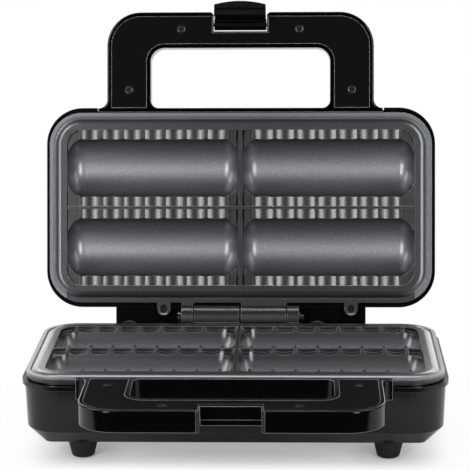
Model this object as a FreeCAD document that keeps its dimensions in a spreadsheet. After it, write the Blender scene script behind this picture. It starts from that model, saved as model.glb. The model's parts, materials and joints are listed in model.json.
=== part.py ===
import FreeCAD, Part
import math
import os
import Sketcher

# Clamshell toaster for hot dog rolls: two crimped four-well plates in two housings
# that share one hinge, a loop handle on each half and a clip that holds them shut.
#
# Each half is drawn in its own frame: the origin lies on the hinge axis, x runs along
# the axis, -y points to the handle and z = 0 is the plane where the halves meet, with
# the half below it. The base is that frame moved up; the lid is the same frame turned
# half a turn about a tilted line, which stands it open behind the base.

doc = FreeCAD.newDocument("hot_dog_toaster")
sheet = doc.addObject("Spreadsheet::Sheet", "Dims")

# Driving dimensions in millimetres and degrees.
DIMENSIONS = [
    # cooking plate casting
    ("plate_width", 270.0),
    ("plate_depth", 134.1),
    ("plate_corner", 23.0),
    ("axis_setback", 10.8),
    ("crest_drop", 0.2),
    ("rim_drop", 1.2),
    ("rim_width", 2.5),
    ("groove_width", 1.1),
    ("groove_depth", 0.9),
    ("slope_width", 6.2),
    ("slope_roundness", 1.6),
    ("crest_width", 2.2),
    ("slab_thick", 3.0),
    ("skirt_height", 4.6),
    ("skirt_wall", 2.5),
    ("divider_width", 2.0),
    ("divider_slope", 2.3),
    ("end_slope", 1.0),
    ("casting_wall", 3.0),
    # wells and crimps
    ("well_depth", 17.5),
    ("well_width", 41.4),
    ("well_edge_drop", 1.6),
    ("well_end_fillet", 10.6),
    ("well_end_margin", 0.7),
    ("crimp_pitch", 14.8),
    ("crimp_first", 9.5),
    ("crimp_rib", 1.8),
    ("crimp_drop", 0.5),
    ("crimp_depth", 2.4),
    ("crimp_side", 1.3),
    ("crimp_slant", 0.4),
    # hinge knuckles, pin and screw ears
    ("open_angle", 102.1),
    ("knuckle_radius", 8.8),
    ("knuckle_gap", 0.7),
    ("knuckle_length", 31.6),
    ("lug_gap", 0.9),
    ("lug_length", 8.1),
    ("web_drop", 7.5),
    ("pin_radius", 2.5),
    ("pin_play", 0.05),
    ("pin_overhang", 3.4),
    ("pin_head_step", 2.1),
    ("pin_head_length", 2.6),
    ("clip_groove_depth", 0.5),
    ("clip_step", 1.7),
    ("clip_thick", 0.8),
    ("ear_near", 54.2),
    ("ear_far", 78.1),
    ("ear_reach", 4.6),
    ("ear_wall", 1.5),
    ("ear_play", 0.3),
    ("ear_drop", 1.8),
    ("ear_depth", 6.2),
    ("ear_floor", 1.6),
    # housings
    ("base_depth", 47.4),
    ("lid_depth", 43.0),
    ("wall", 2.4),
    ("lip_side", 2.6),
    ("lip_front", 3.7),
    ("lip_rear", 3.6),
    ("lip_height", 3.0),
    ("lip_step", 1.7),
    ("plate_gap", 0.5),
    ("side_draft", 1.0),
    ("chamfer_height", 10.0),
    ("chamfer_inset", 11.5),
    ("chamfer_corner", 6.0),
    ("hinge_box_half", 88.7),
    ("hinge_box_rear", 22.0),
    ("knuckle_room", 1.2),
    ("hinge_box_chamfer", 6.0),
    ("stop_gap", 0.15),
    ("post_radius", 3.8),
    ("post_offset", 62.0),
    # handles
    ("handle_half", 94.2),
    ("handle_length", 71.1),
    ("handle_corner", 24.0),
    ("handle_drop", 0.8),
    ("handle_thick", 13.7),
    ("flange_side", 6.3),
    ("flange_thick", 1.35),
    ("flare_margin", 0.3),
    ("window_half", 63.3),
    ("grip_width", 25.5),
    ("window_corner", 9.5),
    ("window_root_corner", 5.5),
    ("rim_fillet", 1.2),
    ("cover_inset", 3.4),
    ("cover_notch_inset", 1.3),
    ("cover_gap", 0.25),
    ("cover_thick", 2.2),
    ("handle_wall", 5.4),
    ("handle_floor", 2.4),
    ("notch_half", 18.8),
    ("notch_depth", 13.7),
    ("notch_corner", 2.0),
    ("ledge_depth", 10.0),
    ("ledge_drop", 9.5),
    ("hook_room", 4.5),
    ("side_screw_root", 16.2),
    ("end_screw_x", 41.7),
    ("end_screw_setback", 12.0),
    ("screw_head_radius", 2.7),
    ("screw_head_height", 1.0),
    ("screw_sink", 1.2),
    ("screw_radius", 1.3),
    ("screw_length", 7.0),
    ("cover_screw_length", 6.0),
    ("screw_play", 0.1),
    ("screw_well_play", 0.5),
    ("screw_boss_wall", 1.7),
    ("ear_boss_length", 10.0),
    # latch
    ("latch_back_gap", 1.2),
    ("latch_drop", 7.0),
    ("latch_rest_angle", 30.0),
    ("latch_barrel", 4.0),
    ("latch_arm_gap", 0.7),
    ("latch_side_gap", 0.4),
    ("latch_arm", 1.8),
    ("latch_inner", 0.8),
    ("latch_lip_start", 16.8),
    ("latch_lip_reach", 4.7),
    ("latch_lip_thick", 2.5),
    ("latch_tip", 20.8),
    ("latch_bow", 3.0),
    ("latch_pin_radius", 1.5),
    ("latch_pin_grip", 4.6),
    # heating parts
    ("element_radius", 3.25),
    ("element_inset", 21.0),
    ("element_pin_radius", 1.5),
    ("element_pin_length", 9.0),
    ("seat_gap", 0.15),
    ("reflector_inset", 9.0),
    ("reflector_margin", 10.0),
    ("reflector_thick", 0.8),
    ("reflector_flange", 5.0),
    ("post_gap", 0.3),
    ("thermostat_x", 30.0),
    ("thermostat_radius", 8.0),
    ("thermostat_height", 5.6),
    ("tab_length", 6.0),
    ("tab_width", 5.0),
    ("tab_thick", 0.8),
    ("fuse_radius", 2.2),
    ("fuse_length", 26.0),
    ("fuse_x", -40.0),
    ("block_x", -60.0),
    ("block_length", 30.0),
    ("block_width", 15.0),
    ("block_height", 11.0),
    ("block_setback", 24.0),
    ("block_pitch", 9.0),
    ("block_bore", 2.0),
    # lamps, gland and feet
    ("lens_offset", 11.0),
    ("lens_inset", 23.0),
    ("lens_radius", 3.5),
    ("lens_step", 1.5),
    ("lens_proud", 1.0),
    ("lamp_play", 0.5),
    ("lamp_length", 8.0),
    ("gland_x", -60.0),
    ("gland_margin", 0.7),
    ("gland_step", 1.2),
    ("gland_proud", 2.6),
    ("gland_wall", 1.2),
    ("foot_height", 12.2),
    ("foot_top_radius", 10.2),
    ("foot_taper", 3.0),
    ("foot_edge", 1.4),
    ("front_foot_side", 35.7),
    ("front_foot_inset", 22.0),
    ("rear_foot_side", 16.7),
    ("rear_foot_inset", 18.0),
    ("foot_stud", 3.0),
    ("foot_stud_length", 4.0),
]

for row, (alias, size) in enumerate(DIMENSIONS, start=1):
    sheet.set("A%d" % row, alias)
    sheet.set("B%d" % row, str(size))
    sheet.setAlias("B%d" % row, alias)
doc.recompute()

# Worked-out lengths, written with the sheet's names.
NAMES = dict((alias, "Dims." + alias) for alias, size in DIMENSIONS)


def define(name, text):
    """Store a length that follows from the sheet under a name of its own."""
    NAMES[name] = "(" + text.format(**NAMES) + ")"


define("half_width", "{plate_width} / 2")
define("plate_rear", "-{axis_setback}")
define("plate_front", "-{axis_setback} - {plate_depth}")
define("slab_bottom", "-{rim_drop} - {slab_thick}")
define("skirt_bottom", "-{rim_drop} - {skirt_height}")
define("border", "{rim_width} + {groove_width} + {slope_width} + {crest_width}")
define("field_half", "{half_width} - {border}")
define("field_front", "{plate_front} + {border}")
define("field_rear", "{plate_rear} - {border}")
define("row_middle", "({field_front} + {field_rear}) / 2")
define("front_row", "({field_front} + {row_middle} - {divider_width} / 2) / 2")
define("rear_row", "({field_rear} + {row_middle} + {divider_width} / 2) / 2")
define("well_sag", "{well_depth} - {well_edge_drop}")
define("well_radius", "({well_width} * {well_width} / 4 + {well_sag} * {well_sag}) / (2 * {well_sag})")
define("well_inner", "{divider_width} / 2 + {well_end_margin}")
define("well_outer", "{field_half} - {well_end_margin}")
define("trough_bottom", "-{well_depth} - {casting_wall}")
define("lip_top", "{skirt_bottom} - {plate_gap}")
define("knuckle_end", "{knuckle_gap} + {knuckle_length}")
define("lug_start", "{knuckle_end} + {lug_gap}")
define("lug_end", "{lug_start} + {lug_length}")
define("pin_head_radius", "{pin_radius} + {pin_head_step}")
define("clip_groove_radius", "{pin_radius} - {clip_groove_depth}")
define("clip_radius", "{pin_radius} + {clip_step}")
define("ear_cup_radius", "{screw_head_radius} + {ear_play}")
define("ear_radius", "{ear_cup_radius} + {ear_wall}")
define("ear_setback", "{axis_setback} - {ear_reach}")
define("lip_corner", "{plate_corner} + {lip_side}")
define("hinge_floor_drop", "{knuckle_radius} + {knuckle_room}")
define("handle_reach", "{axis_setback} + {plate_depth} + {handle_length}")
define("flange_half", "{handle_half} + {flange_side}")
define("flare_radius", "{flange_side} - {flare_margin}")
define("window_end", "{handle_reach} - {grip_width}")
define("side_screw_x", "({window_half} + {handle_half}) / 2")
define("side_screw_reach", "{axis_setback} + {plate_depth} + {side_screw_root}")
define("end_screw_reach", "{handle_reach} - {end_screw_setback}")
define("screw_well", "{screw_head_radius} + {screw_well_play}")
define("screw_boss", "{screw_radius} + {screw_boss_wall}")
define("latch_reach", "{handle_reach} - {notch_depth} + {latch_barrel} + {latch_back_gap}")
define("latch_half", "{notch_half} - {latch_arm_gap}")
define("handle_top", "-{handle_drop}")
define("handle_bottom", "-{handle_drop} - {handle_thick}")
define("housing_front", "{plate_front} - {lip_front} + {lip_step}")
define("cover_bottom", "-{handle_drop} - {cover_thick}")
define("element_drop", "-{trough_bottom} + {seat_gap} + {element_radius}")
define("reflector_top", "-{element_drop} - {element_radius} - {seat_gap}")
define("stop_slope", "tan({open_angle} / 2)")
define("stop_start", "{hinge_floor_drop} / {stop_slope} - {stop_gap} / sin({open_angle} / 2)")
define("stop_end_drop", "({hinge_box_rear} + {stop_gap} / sin({open_angle} / 2)) * {stop_slope}")
define("element_half", "{well_outer} - {element_inset}")
define("reflector_half", "{well_outer} - {reflector_inset}")
define("lens_reach", "{axis_setback} + {plate_depth} - {lens_inset}")
define("lens_flange", "{lens_radius} + {lens_step}")
define("lamp_radius", "{lens_radius} - {lamp_play}")
define("gland_drop", "({stop_end_drop} + {base_depth} - {hinge_box_chamfer}) / 2")
define("gland_flange", "({base_depth} - {hinge_box_chamfer} - {stop_end_drop}) / 2 - {gland_margin}")
define("gland_radius", "{gland_flange} - {gland_step}")
define("gland_bore", "{gland_radius} - {gland_wall}")
define("foot_bottom_radius", "{foot_top_radius} - {foot_taper}")
define("front_foot_x", "{half_width} - {front_foot_side}")
define("front_foot_reach", "{axis_setback} + {plate_depth} - {front_foot_inset}")
define("rear_foot_x", "{hinge_box_half} - {rear_foot_side}")
define("rear_foot_y", "{hinge_box_rear} - {rear_foot_inset}")


def formula(text):
    """Write a length out in the sheet's own names."""
    return text.format(**NAMES)


def size_of(text):
    """Work a length out now."""
    return float(sheet.evalExpression(formula(text)))


# ---------------------------------------------------------------- building blocks


def new_body(label):
    body = doc.addObject("PartDesign::Body", label)
    body.Label = label
    return body


def new_sketch(body, plane, offset="0", rise="0"):
    """A sketch on one of the body's origin planes, moved along its normal and up it."""
    sketch = body.newObject("Sketcher::SketchObject", "Sketch")
    support = [item for item in body.Origin.OriginFeatures if item.Role == plane][0]
    sketch.AttachmentSupport = [(support, "")]
    sketch.MapMode = "FlatFace"
    sketch.setExpression("AttachmentOffset.Base.z", formula(offset))
    sketch.setExpression("AttachmentOffset.Base.y", formula(rise))
    return sketch


def tie(sketch, kind, first, point, text):
    """Hold a point's distance from the sketch's origin at a named length."""
    number = sketch.addConstraint(Sketcher.Constraint(kind, -1, 1, first, point, size_of(text)))
    sketch.setExpression("Constraints[%d]" % number, formula(text))


def minor_arc(start, end, radius):
    """The short arc that runs counter-clockwise from start to end."""
    chord = end - start
    rise = math.sqrt(radius * radius - chord.Length * chord.Length / 4)
    centre = (start + end) / 2 + FreeCAD.Vector(-chord.y, chord.x, 0).normalize() * rise
    begin = math.atan2(start.y - centre.y, start.x - centre.x)
    finish = math.atan2(end.y - centre.y, end.x - centre.x)
    if finish < begin:
        finish += 2 * math.pi
    return Part.ArcOfCircle(Part.Circle(centre, FreeCAD.Vector(0, 0, 1), radius), begin, finish)


def outline(sketch, corners):
    """A closed outline of straight sides; a corner with a radius is rounded."""
    points = [FreeCAD.Vector(size_of(corner[0]), size_of(corner[1]), 0) for corner in corners]
    rounds = [size_of(corner[2]) if len(corner) > 2 else 0.0 for corner in corners]
    count = len(corners)
    leaving, arriving, ahead_of = [], [], []
    for index, (point, radius) in enumerate(zip(points, rounds)):
        back = (points[index - 1] - point).normalize()
        ahead = (points[(index + 1) % count] - point).normalize()
        setback = radius / math.tan(back.getAngle(ahead) / 2)
        arriving.append(point + back * setback)
        leaving.append(point + ahead * setback)
        ahead_of.append(ahead)
    lines = []
    for index in range(count):
        side = Part.LineSegment(leaving[index], arriving[(index + 1) % count])
        lines.append(sketch.addGeometry(side, False))
    for index, corner in enumerate(corners):
        before, after = lines[index - 1], lines[index]
        if not rounds[index]:
            sketch.addConstraint(Sketcher.Constraint("Coincident", before, 2, after, 1))
            tie(sketch, "DistanceX", after, 1, corner[0])
            tie(sketch, "DistanceY", after, 1, corner[1])
            continue
        # The sides of a rounded corner aim at its sharp point.
        sharp = sketch.addGeometry(Part.Point(points[index]), True)
        tie(sketch, "DistanceX", sharp, 1, corner[0])
        tie(sketch, "DistanceY", sharp, 1, corner[1])
        sketch.addConstraint(Sketcher.Constraint("PointOnObject", sharp, 1, before))
        sketch.addConstraint(Sketcher.Constraint("PointOnObject", sharp, 1, after))
        left_turn = (points[index] - points[index - 1]).cross(ahead_of[index]).z > 0
        ends = (arriving[index], leaving[index]) if left_turn else (leaving[index], arriving[index])
        arc = sketch.addGeometry(minor_arc(ends[0], ends[1], rounds[index]), False)
        first, last = (1, 2) if left_turn else (2, 1)
        sketch.addConstraint(Sketcher.Constraint("Tangent", before, 2, arc, first))
        sketch.addConstraint(Sketcher.Constraint("Tangent", arc, last, after, 1))
        held = sketch.addConstraint(Sketcher.Constraint("Radius", arc, rounds[index]))
        sketch.setExpression("Constraints[%d]" % held, formula(corner[2]))


def rectangle(sketch, left, right, front, rear):
    outline(sketch, [(left, front), (right, front), (right, rear), (left, rear)])


def circle(sketch, x, y, radius):
    centre = FreeCAD.Vector(size_of(x), size_of(y), 0)
    number = sketch.addGeometry(Part.Circle(centre, FreeCAD.Vector(0, 0, 1), size_of(radius)), False)
    tie(sketch, "DistanceX", number, 3, x)
    tie(sketch, "DistanceY", number, 3, y)
    held = sketch.addConstraint(Sketcher.Constraint("Radius", number, size_of(radius)))
    sketch.setExpression("Constraints[%d]" % held, formula(radius))


def round_bottom(sketch, x, y, radius, level):
    """The part of a circle that lies below a level line."""
    vector = FreeCAD.Vector
    centre = vector(size_of(x), size_of(y), 0)
    reach = size_of(radius)
    rise = size_of(level) - centre.y
    start = math.pi - math.asin(rise / reach)
    turn = Part.Circle(centre, vector(0, 0, 1), reach)
    arc = sketch.addGeometry(Part.ArcOfCircle(turn, start, 3 * math.pi - start), False)
    ends = [sketch.Geometry[arc].StartPoint, sketch.Geometry[arc].EndPoint]
    line = sketch.addGeometry(Part.LineSegment(ends[1], ends[0]), False)
    sketch.addConstraint(Sketcher.Constraint("Coincident", arc, 2, line, 1))
    sketch.addConstraint(Sketcher.Constraint("Coincident", line, 2, arc, 1))
    sketch.addConstraint(Sketcher.Constraint("Horizontal", line))
    tie(sketch, "DistanceX", arc, 3, x)
    tie(sketch, "DistanceY", arc, 3, y)
    tie(sketch, "DistanceY", line, 1, level)
    held = sketch.addConstraint(Sketcher.Constraint("Radius", arc, reach))
    sketch.setExpression("Constraints[%d]" % held, formula(radius))


def bar_profile(sketch, left, right, radius, corner):
    """Half outline of a round bar along x whose two ends are rounded."""
    low = "-(" + radius + ")"
    outline(sketch, [(left, low, corner), (right, low, corner), (right, "0"), (left, "0")])


def rounded_rectangle(sketch, left, right, front, rear, corner):
    sides = [(left, front), (right, front), (right, rear), (left, rear)]
    outline(sketch, [side + (corner,) for side in sides])


def crown(sketch, half, level, rise):
    """A shallow arc that bulges below a straight base line."""
    vector = FreeCAD.Vector
    reach, low, high = size_of(half), size_of(level), size_of(rise)
    bow = (reach * reach + high * high) / (2 * high)
    first = sketch.addGeometry(minor_arc(vector(-reach, low, 0), vector(reach, low, 0), bow), False)
    base = sketch.addGeometry(Part.LineSegment(vector(reach, low, 0), vector(-reach, low, 0)), False)
    sketch.addConstraint(Sketcher.Constraint("Coincident", base, 1, first, 2))
    sketch.addConstraint(Sketcher.Constraint("Coincident", base, 2, first, 1))
    tie(sketch, "DistanceX", base, 1, half)
    tie(sketch, "DistanceX", base, 2, "-" + half)
    tie(sketch, "DistanceY", base, 1, level)
    tie(sketch, "DistanceY", base, 2, level)
    held = sketch.addConstraint(Sketcher.Constraint("Radius", first, bow))
    square = half + " * " + half + " + " + rise + " * " + rise
    sketch.setExpression("Constraints[%d]" % held, formula("(" + square + ") / (2 * " + rise + ")"))


def hairpin(sketch, start, turn, near_row, far_row):
    """Two straight runs along x joined by half a circle."""
    vector = FreeCAD.Vector
    west, east = size_of(start), size_of(turn)
    south, north = size_of(near_row), size_of(far_row)
    radius = (north - south) / 2
    far = vector(east + radius, south + radius, 0)
    first = sketch.addGeometry(Part.LineSegment(vector(west, south, 0), vector(east, south, 0)), False)
    bend = sketch.addGeometry(Part.Arc(vector(east, south, 0), far, vector(east, north, 0)), False)
    last = sketch.addGeometry(Part.LineSegment(vector(east, north, 0), vector(west, north, 0)), False)
    sketch.addConstraint(Sketcher.Constraint("Tangent", first, 2, bend, 1))
    sketch.addConstraint(Sketcher.Constraint("Tangent", bend, 2, last, 1))
    sketch.addConstraint(Sketcher.Constraint("Horizontal", first))
    sketch.addConstraint(Sketcher.Constraint("Horizontal", last))
    tie(sketch, "DistanceX", first, 1, start)
    tie(sketch, "DistanceY", first, 1, near_row)
    tie(sketch, "DistanceX", first, 2, turn)
    tie(sketch, "DistanceX", last, 2, start)
    tie(sketch, "DistanceY", last, 2, far_row)


def volume(body):
    doc.recompute()
    return body.Shape.Volume


def pad(body, sketch, length, both_ways=False, reverse=False):
    """Add the sketch's outline, and make sure that it added something."""
    before = body.Shape.Volume if body.Tip else 0.0
    feature = body.newObject("PartDesign::Pad", "Pad")
    feature.Profile = sketch
    feature.setExpression("Length", formula(length))
    if both_ways:
        feature.SideType = "Symmetric"
    feature.Reversed = reverse
    if volume(body) <= before:
        raise RuntimeError(body.Label + ": a pad adds nothing")
    return feature


def pocket(body, sketch, length, both_ways=False, reverse=False):
    """Cut the sketch's outline, and make sure that it cut something."""
    before = volume(body)
    feature = body.newObject("PartDesign::Pocket", "Pocket")
    feature.Profile = sketch
    feature.setExpression("Length", formula(length))
    if both_ways:
        feature.SideType = "Symmetric"
    feature.Reversed = reverse
    if volume(body) >= before - 1e-6:
        raise RuntimeError(body.Label + ": a pocket cuts nothing")
    return feature


def groove(body, sketch):
    """Turn the outline once round the sketch's own x axis and cut it out."""
    before = volume(body)
    feature = body.newObject("PartDesign::Groove", "Groove")
    feature.Profile = sketch
    feature.ReferenceAxis = (sketch, ["H_Axis"])
    feature.Angle = 360
    if volume(body) >= before - 1e-6:
        raise RuntimeError(body.Label + ": a groove cuts nothing")
    return feature


def loft(body, kind, sketches):
    feature = body.newObject("PartDesign::" + kind, kind)
    feature.Profile = sketches[0]
    feature.Sections = sketches[1:]
    feature.Ruled = True
    doc.recompute()
    return feature


def soften(body, chosen, radius, kind="Fillet"):
    """Round or chamfer the tip's edges that the test picks out."""
    doc.recompute()
    base = body.Tip
    names = []
    for number, edge in enumerate(base.Shape.Edges, start=1):
        if chosen(edge):
            names.append("Edge%d" % number)
    if not names:
        raise RuntimeError(body.Label + ": no edge to soften")
    feature = body.newObject("PartDesign::" + kind, kind)
    feature.Base = (base, names)
    feature.setExpression("Radius" if kind == "Fillet" else "Size", formula(radius))
    doc.recompute()
    return feature


def near(first, second):
    return abs(first - second) < 1e-3


def upright(x, y):
    """Test for a straight edge along z through one point."""
    spot = (size_of(x), size_of(y))

    def chosen(edge):
        ends = [vertex.Point for vertex in edge.Vertexes]
        if len(ends) != 2 or near(ends[0].z, ends[1].z):
            return False
        return all(near(end.x, spot[0]) and near(end.y, spot[1]) for end in ends)

    return chosen


def either(*tests):
    return lambda edge: any(test(edge) for test in tests)


def mirror_x(x):
    """The same place on both sides of the middle."""
    return (x, "-" + x)


BASE_PLACE = "placement(vector(0; {axis_place}; {axis_height}); rotation(vector(0; 0; 1); 0))"
LID_PLACE = (
    "placement(vector(0; {axis_place}; {axis_height}); "
    "rotation(vector(0; cos({open_angle} / 2); -sin({open_angle} / 2)); 180))"
)
# The origin lies on the ground, midway between the base handle's end and the highest
# corner of the tilted lid's chamfer.
define("axis_height", "{base_depth} + {foot_height}")
define("lid_crown_reach", "-({plate_front} - {lip_front} + {lip_step} + {side_draft} + {chamfer_inset})")
define(
    "rear_end",
    "{lid_crown_reach} * -cos({open_angle}) + {lid_depth} * sin({open_angle})",
)
define("axis_place", "({handle_reach} - {rear_end}) / 2")


def set_on(piece, half, more=""):
    """Stand a piece in the base or in the open lid."""
    place = BASE_PLACE if half == "base" else LID_PLACE
    piece.setExpression("Placement", formula(place + more))


def twin(label, original, half):
    """A second piece off the same drawing."""
    body = doc.addObject("PartDesign::Body", label)
    body.Label = label
    copy = doc.addObject("PartDesign::FeatureBase", "Twin")
    copy.BaseFeature = original.Tip
    body.Group = [copy]
    body.Tip = copy
    set_on(body, half)
    return body


# ---------------------------------------------------------------- cooking plates


def border_profile(sketch):
    """What is cut away outside the sealing crest: convex slope, groove and flat rim."""
    vector = FreeCAD.Vector
    places = [
        ("{plate_front} + {border} - {crest_width}", "-{crest_drop}"),
        ("{plate_front} + {rim_width} + {groove_width}", "-{rim_drop} - {groove_depth} / 2"),
        ("{plate_front} + {rim_width} + {groove_width} / 2", "-{rim_drop} - {groove_depth}"),
        ("{plate_front} + {rim_width}", "-{rim_drop}"),
        ("{plate_front} - 2", "-{rim_drop}"),
        ("{plate_front} - 2", "2"),
        ("{plate_front} + {border} - {crest_width}", "2"),
    ]
    points = [vector(size_of(x), size_of(y), 0) for x, y in places]
    radius = size_of("{slope_width} * {slope_roundness}")
    sketch.addGeometry(minor_arc(points[0], points[1], radius), False)
    for start, end in zip(points[1:], points[2:] + points[:1]):
        sketch.addGeometry(Part.LineSegment(start, end), False)
    sketch.addConstraint(Sketcher.Constraint("Coincident", 0, 2, 1, 1))
    for index in range(1, 6):
        sketch.addConstraint(Sketcher.Constraint("Coincident", index, 2, index + 1, 1))
    sketch.addConstraint(Sketcher.Constraint("Coincident", 6, 2, 0, 1))
    for index, (x, y) in enumerate(places[1:], start=1):
        tie(sketch, "DistanceX", index, 1, x)
        tie(sketch, "DistanceY", index, 1, y)
    tie(sketch, "DistanceX", 6, 2, places[0][0])
    tie(sketch, "DistanceY", 6, 2, places[0][1])
    held = sketch.addConstraint(Sketcher.Constraint("Radius", 0, radius))
    sketch.setExpression("Constraints[%d]" % held, formula("{slope_width} * {slope_roundness}"))


def crimp_profile(sketch, side):
    """Air above one row of crimps: shallow scallops between narrow, steep-sided ribs."""
    vector = FreeCAD.Vector
    pitch = size_of("{crimp_pitch}")
    half_rib = size_of("{crimp_rib}") / 2
    first = size_of("{crimp_first}")
    last = int((size_of("{well_outer}") - first) / pitch)
    inner = size_of("{divider_width}") / 2
    outer = size_of("{field_half}")
    top = 2.0
    rib_z = size_of("-{crimp_drop}")
    side_z = size_of("-{crimp_drop} - {crimp_side}")
    slant = size_of("{crimp_slant}")
    low_z = size_of("-{crimp_drop} - {crimp_depth}")
    edges = []

    def line(start, end):
        edges.append(Part.LineSegment(vector(side * start[0], start[1], 0), vector(side * end[0], end[1], 0)))

    foot = inner + size_of("{divider_slope}")
    line((inner, top), (inner, size_of("-{crest_drop}")))
    line((inner, size_of("-{crest_drop}")), (foot, low_z))
    line((foot, low_z), (first - half_rib, low_z))
    line((first - half_rib, low_z), (first - half_rib, rib_z))
    for number in range(last + 1):
        rib = first + number * pitch
        line((rib - half_rib, rib_z), (rib + half_rib, rib_z))
        if number < last:
            begin = rib + half_rib + slant
            end = rib + pitch - half_rib - slant
            line((rib + half_rib, rib_z), (begin, side_z))
            ends = [vector(side * x, side_z, 0) for x in (begin, end)]
            edges.append(Part.Arc(ends[0], vector(side * (rib + pitch / 2), low_z, 0), ends[1]))
            line((end, side_z), (rib + pitch - half_rib, rib_z))
    final = first + last * pitch + half_rib
    line((final, rib_z), (final, low_z))
    rise = size_of("-{crest_drop}")
    line((final, low_z), (outer - size_of("{end_slope}"), low_z))
    line((outer - size_of("{end_slope}"), low_z), (outer, rise))
    line((outer, rise), (outer, top))
    line((outer, top), (inner, top))
    for edge in edges:
        number = sketch.addGeometry(edge, False)
        sketch.addConstraint(Sketcher.Constraint("Block", number))


def cooking_plate(label, half):
    """Crimped four-well casting; both halves use the same one."""
    body = new_body(label)
    outline = ("-{half_width}", "{half_width}", "{plate_front}", "{plate_rear}", "{plate_corner}")
    sketch = new_sketch(body, "XY_Plane", "{slab_bottom}")
    rounded_rectangle(sketch, *outline)
    pad(body, sketch, "-{crest_drop} - {slab_bottom}")
    sketch = new_sketch(body, "XY_Plane", "{skirt_bottom}")
    rounded_rectangle(sketch, *outline)
    rounded_rectangle(
        sketch,
        "-{half_width} + {skirt_wall}",
        "{half_width} - {skirt_wall}",
        "{plate_front} + {skirt_wall}",
        "{plate_rear} - {skirt_wall}",
        "{plate_corner} - {skirt_wall}",
    )
    pad(body, sketch, "{slab_bottom} - {skirt_bottom}")
    # The wells stand out below as two long round-bottomed troughs.
    for row in ("{front_row}", "{rear_row}"):
        sketch = new_sketch(body, "YZ_Plane")
        centre = "{well_radius} - {well_depth}"
        round_bottom(sketch, row, centre, "{well_radius} + {casting_wall}", "-{rim_drop}")
        pad(body, sketch, "2 * {well_outer} + 2 * {casting_wall}", both_ways=True)
    # Pad that the thermostat is clamped to, between the troughs.
    sketch = new_sketch(body, "XY_Plane", "{trough_bottom}")
    circle(sketch, "{thermostat_x}", "{row_middle}", "{thermostat_radius}")
    pad(body, sketch, "{slab_bottom} - {trough_bottom}")
    # Knuckles: a long barrel on one side and a short lug on the other.
    for start, length in (
        ("-{knuckle_end}", "{knuckle_length}"),
        ("{lug_start}", "{lug_length}"),
    ):
        sketch = new_sketch(body, "YZ_Plane", start)
        circle(sketch, "0", "0", "{knuckle_radius}")
        pad(body, sketch, length)
        sketch = new_sketch(body, "YZ_Plane", start)
        web_front = "{plate_rear} - {skirt_wall} / 2"
        web_rear = "-{knuckle_radius} / 2"
        rectangle(sketch, web_front, web_rear, "-{web_drop}", "-{rim_drop}")
        pad(body, sketch, length)
    sketch = new_sketch(body, "YZ_Plane", "-{lug_end}")
    circle(sketch, "0", "0", "{pin_radius} + {pin_play}")
    pocket(body, sketch, "2 * {lug_end}", reverse=True)
    # Screw ears: cups that stand out behind the rear edge.
    sides = ("{ear_near}", "-{ear_far}")
    sketch = new_sketch(body, "XY_Plane", "-{ear_drop}")
    for x in sides:
        rectangle(sketch, x + " - {ear_radius}", x + " + {ear_radius}", "{plate_rear} - 1", "-{ear_setback}")
    pad(body, sketch, "{ear_depth}", reverse=True)
    sketch = new_sketch(body, "XY_Plane", "-{ear_drop}")
    for x in sides:
        circle(sketch, x, "-{ear_setback}", "{ear_radius}")
    pad(body, sketch, "{ear_depth}", reverse=True)
    sketch = new_sketch(body, "XY_Plane", "-{ear_drop}")
    for x in sides:
        circle(sketch, x, "-{ear_setback}", "{ear_cup_radius}")
    pocket(body, sketch, "{ear_depth} - {ear_floor}")
    sketch = new_sketch(body, "XY_Plane", "-{ear_drop}")
    for x in sides:
        circle(sketch, x, "-{ear_setback}", "{screw_radius} + {screw_play}")
    pocket(body, sketch, "{ear_depth} + 1")
    # Crimps: a scalloped cut over each row, on both sides of the divider.
    for front, rear in (
        ("{field_front}", "{row_middle} - {divider_width} / 2"),
        ("{row_middle} + {divider_width} / 2", "{field_rear}"),
    ):
        sketch = new_sketch(body, "XZ_Plane", "-(" + rear + ")")
        crimp_profile(sketch, 1)
        crimp_profile(sketch, -1)
        pocket(body, sketch, rear + " - (" + front + ")", reverse=True)
    # The crest closes round the field's corners.
    sketch = new_sketch(body, "XY_Plane", "-{crest_drop}")
    around = "{crest_width} / 2"
    rectangle(
        sketch,
        "-{field_half} - " + around,
        "{field_half} + " + around,
        "{field_front} - " + around,
        "{field_rear} + " + around,
    )
    field = ("-{field_half}", "{field_half}", "{field_front}", "{field_rear}")
    rounded_rectangle(sketch, *field, "{plate_corner} - {border}")
    pad(body, sketch, "-{crest_drop} - {slab_bottom}", reverse=True)
    # Border: the profile runs once round the outline.
    path = new_sketch(body, "XY_Plane", "-{crest_drop}")
    rounded_rectangle(path, *outline)
    profile = new_sketch(body, "YZ_Plane", "-{half_width} + {plate_corner}")
    border_profile(profile)
    before = volume(body)
    sweep = body.newObject("PartDesign::SubtractivePipe", "Border")
    sweep.Profile = profile
    sweep.Spine = (path, [])
    if volume(body) >= before:
        raise RuntimeError("the border cuts nothing")
    # Wells: round bars with rounded ends, sunk into the casting.
    for row in ("{front_row}", "{rear_row}"):
        for left, right in (("{well_inner}", "{well_outer}"), ("-{well_outer}", "-{well_inner}")):
            sketch = new_sketch(body, "XZ_Plane", "-" + row, "{well_radius} - {well_depth}")
            bar_profile(sketch, left, right, "{well_radius}", "{well_end_fillet}")
            groove(body, sketch)
    set_on(body, half)
    return body


lower_cooking_plate = cooking_plate("lower_cooking_plate", "base")
upper_cooking_plate = twin("upper_cooking_plate", lower_cooking_plate, "lid")



# ---------------------------------------------------------------- housings


def housing_outline(sketch, inset, corner):
    """The lip's outline, drawn smaller by the inset."""
    rounded_rectangle(
        sketch,
        "-{half_width} - {lip_side} + " + inset,
        "{half_width} + {lip_side} - (" + inset + ")",
        "{plate_front} - {lip_front} + " + inset,
        "{plate_rear} + {lip_rear} - (" + inset + ")",
        corner or "{lip_corner} - (" + inset + ")",
    )


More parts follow.
